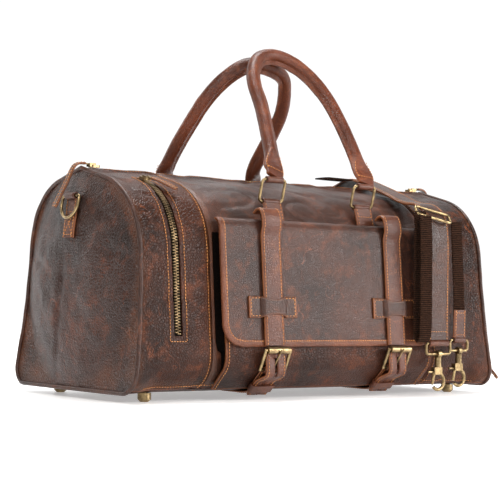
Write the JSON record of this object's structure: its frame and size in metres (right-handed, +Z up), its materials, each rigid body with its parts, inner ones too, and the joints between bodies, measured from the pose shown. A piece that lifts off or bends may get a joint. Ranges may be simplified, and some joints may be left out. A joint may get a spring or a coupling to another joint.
{
  "type": "duffel bag",
  "caption": "Leather travel duffel with a top zip, a buckled flap pocket, rolled handles on rings, end D rings and a detachable shoulder strap.",
  "frame": {"origin": "on the floor, under the middle of the whole object's box", "axes": "+X along the bag towards its right end, -Y to the front with the buckled flap pocket, +Z up"},
  "size_m": [0.64, 0.3085, 0.4516],
  "materials": {
    "body_leather": "pebbled, waxed and worn dark brown",
    "strap_leather": "smooth reddish brown, rubbed",
    "edge_leather": "orange brown edge binding",
    "lining_cloth": "plain woven cotton",
    "stiffener": "matt board",
    "zip_cloth": "herringbone zip tape",
    "webbing_cloth": "ribbed webbing",
    "antique_brass": "antique brass, brushed and dulled"
  },
  "bodies": {
    "root": {"front_left_band": "body_leather", "front_center_panel": "body_leather", "front_right_band": "body_leather", "back_left_band": "body_leather", "back_center_panel": "body_leather", "back_right_band": "body_leather", "bottom_panel": "body_leather", "left_end_panel": "body_leather", "right_end_panel": "body_leather", "end_piping": "strap_leather", "lining": "lining_cloth", "base_board": "stiffener", "feet": "antique_brass", "main_zip_tape": "zip_cloth", "main_zip_teeth": "antique_brass", "side_zip_tape": "zip_cloth", "side_zip_teeth": "antique_brass", "end_zip_tape": "zip_cloth", "end_zip_teeth": "antique_brass", "front_pocket": "body_leather", "buckle_chapes": "strap_leather", "strap_tails": "strap_leather", "keeper_loops": "strap_leather", "buckle_frames": "antique_brass", "handle_tabs": "strap_leather", "dring_tabs": "strap_leather", "strap_over_top": "strap_leather"},
    "flap": {"flap_panel": "body_leather", "flap_binding": "edge_leather", "flap_straps": "strap_leather", "flap_keepers": "strap_leather"},
    "strap_fall": {"strap_pad": "strap_leather", "strap_webbing": "webbing_cloth", "strap_end_tab": "strap_leather", "strap_adjuster": "antique_brass"},
    "main_slider_left": {"main_slider_left": "antique_brass"},
    "main_pull_left": {"main_pull_left": "strap_leather"},
    "main_slider_right": {"main_slider_right": "antique_brass"},
    "main_pull_right": {"main_pull_right": "strap_leather"},
    "side_slider": {"side_slider": "antique_brass"},
    "side_pull": {"side_pull": "strap_leather"},
    "end_slider": {"end_slider": "antique_brass"},
    "end_pull": {"end_pull": "strap_leather"},
    "buckle_roller_left": {"buckle_roller_left": "antique_brass"},
    "buckle_roller_right": {"buckle_roller_right": "antique_brass"},
    "buckle_prong_left": {"buckle_prong_left": "antique_brass"},
    "buckle_prong_right": {"buckle_prong_right": "antique_brass"},
    "front_rings": {"front_rings": "antique_brass"},
    "front_handle": {"front_handle": "strap_leather"},
    "back_rings": {"back_rings": "antique_brass"},
    "back_handle": {"back_handle": "strap_leather"},
    "dring_left": {"dring_left": "antique_brass"},
    "dring_right": {"dring_right": "antique_brass"},
    "strap_ring_front": {"strap_ring_front": "antique_brass"},
    "strap_ring_rear": {"strap_ring_rear": "antique_brass"},
    "hook_front": {"hook_front": "antique_brass"},
    "hook_rear": {"hook_rear": "antique_brass"},
    "hook_gate_front": {"hook_gate_front": "antique_brass"},
    "hook_gate_rear": {"hook_gate_rear": "antique_brass"}
  },
  "joints": [
    {"name": "flap_hinge", "type": "hinge", "parent": "root", "child": "flap", "pos_m": [0, -0.1096, 0.219], "axis": [-1, 0, 0], "range_deg": [0, 100]},
    {"name": "strap_fall_swing", "type": "hinge", "parent": "root", "child": "strap_fall", "pos_m": [0.166, -0.126, 0.2443], "axis": [-1, 0, 0], "range_deg": [0, 106]},
    {"name": "front_ring_swing", "type": "hinge", "parent": "root", "child": "front_rings", "pos_m": [0, -0.093, 0.243], "axis": [1, 0, 0], "range_deg": [0, 15]},
    {"name": "front_handle_swing", "type": "hinge", "parent": "front_rings", "child": "front_handle", "pos_m": [0, -0.1, 0.27], "axis": [1, 0, 0], "range_deg": [0, 95]},
    {"name": "back_ring_swing", "type": "hinge", "parent": "root", "child": "back_rings", "pos_m": [0, 0.123, 0.243], "axis": [-1, 0, 0], "range_deg": [0, 15]},
    {"name": "back_handle_swing", "type": "hinge", "parent": "back_rings", "child": "back_handle", "pos_m": [0, 0.13, 0.27], "axis": [-1, 0, 0], "range_deg": [0, 95]},
    {"name": "main_slider_left_slide", "type": "slide", "parent": "root", "child": "main_slider_left", "axis": [1, 0, 0], "range_m": [0, 0.24], "deforming": ["main_pull_left"]},
    {"name": "main_pull_left_swing", "type": "hinge", "parent": "main_slider_left", "child": "main_pull_left", "pos_m": [-0.2718, 0.015, 0.28309], "axis": [0, 1, 0], "range_deg": [0, 100]},
    {"name": "main_slider_right_slide", "type": "slide", "parent": "root", "child": "main_slider_right", "axis": [-1, 0, 0], "range_m": [0, 0.24], "deforming": ["main_pull_right"]},
    {"name": "main_pull_right_swing", "type": "hinge", "parent": "main_slider_right", "child": "main_pull_right", "pos_m": [0.2718, 0.015, 0.28309], "axis": [0, -1, 0], "range_deg": [0, 100]},
    {"name": "side_slider_travel", "type": "hinge", "parent": "root", "child": "side_slider", "pos_m": [-0.228, -0.018, 0.1735], "axis": [1, 0, 0], "range_deg": [0, 60]},
    {"name": "side_pull_swing", "type": "hinge", "parent": "side_slider", "child": "side_pull", "pos_m": [-0.228, -0.0509, 0.26614], "axis": [-1, 0, 0], "range_deg": [0, 100]},
    {"name": "end_slider_slide", "type": "slide", "parent": "root", "child": "end_slider", "axis": [0, 1, 0], "range_m": [0, 0.19]},
    {"name": "end_pull_swing", "type": "hinge", "parent": "end_slider", "child": "end_pull", "pos_m": [0.29245, -0.0848, 0.05899], "axis": [-0.1172, 0, 0.9931], "range_deg": [-25, 15]},
    {"name": "dring_left_swing", "type": "hinge", "parent": "root", "child": "dring_left", "pos_m": [-0.29508, 0.015, 0.243], "axis": [0, 1, 0], "range_deg": [0, 110]},
    {"name": "dring_right_swing", "type": "hinge", "parent": "root", "child": "dring_right", "pos_m": [0.28469, 0.015, 0.243], "axis": [0, -1, 0], "range_deg": [0, 110]},
    {"name": "buckle_roller_left_spin", "type": "hinge", "parent": "root", "child": "buckle_roller_left", "pos_m": [-0.0994, -0.1448, 0.0615], "axis": [1, 0, 0], "continuous": true},
    {"name": "buckle_prong_left_swing", "type": "hinge", "parent": "root", "child": "buckle_prong_left", "pos_m": [-0.0994, -0.13414, 0.0381], "axis": [1, 0, 0], "range_deg": [0, 35]},
    {"name": "buckle_roller_right_spin", "type": "hinge", "parent": "root", "child": "buckle_roller_right", "pos_m": [0.0994, -0.1448, 0.0615], "axis": [1, 0, 0], "continuous": true},
    {"name": "buckle_prong_right_swing", "type": "hinge", "parent": "root", "child": "buckle_prong_right", "pos_m": [0.0994, -0.13414, 0.0381], "axis": [1, 0, 0], "range_deg": [0, 35]},
    {"name": "strap_ring_front_swing", "type": "hinge", "parent": "strap_fall", "child": "strap_ring_front", "pos_m": [0.166, -0.146, 0.069], "axis": [-1, 0, 0], "range_deg": [0, 45]},
    {"name": "hook_front_spin", "type": "hinge", "parent": "strap_ring_front", "child": "hook_front", "pos_m": [0.166, -0.146, 0.045], "axis": [0, 0, 1], "continuous": true},
    {"name": "hook_gate_front_swing", "type": "hinge", "parent": "hook_front", "child": "hook_gate_front", "pos_m": [0.1596, -0.146, 0.0315], "axis": [0, -1, 0], "range_deg": [0, 25], "stiffness_Nm_per_rad": 0.01, "springref_deg": -17.19},
    {"name": "strap_ring_rear_swing", "type": "hinge", "parent": "strap_fall", "child": "strap_ring_rear", "pos_m": [0.2085, -0.141, 0.073], "axis": [-1, 0, 0], "range_deg": [0, 45]},
    {"name": "hook_rear_spin", "type": "hinge", "parent": "strap_ring_rear", "child": "hook_rear", "pos_m": [0.2085, -0.141, 0.049], "axis": [0, 0, 1], "continuous": true},
    {"name": "hook_gate_rear_swing", "type": "hinge", "parent": "hook_rear", "child": "hook_gate_rear", "pos_m": [0.2021, -0.141, 0.0355], "axis": [0, -1, 0], "range_deg": [0, 25], "stiffness_Nm_per_rad": 0.01, "springref_deg": -17.19}
  ],
  "couplings": [
    {"joint": "strap_fall_swing", "follows": "flap_hinge", "ratio": 1.05}
  ]
}
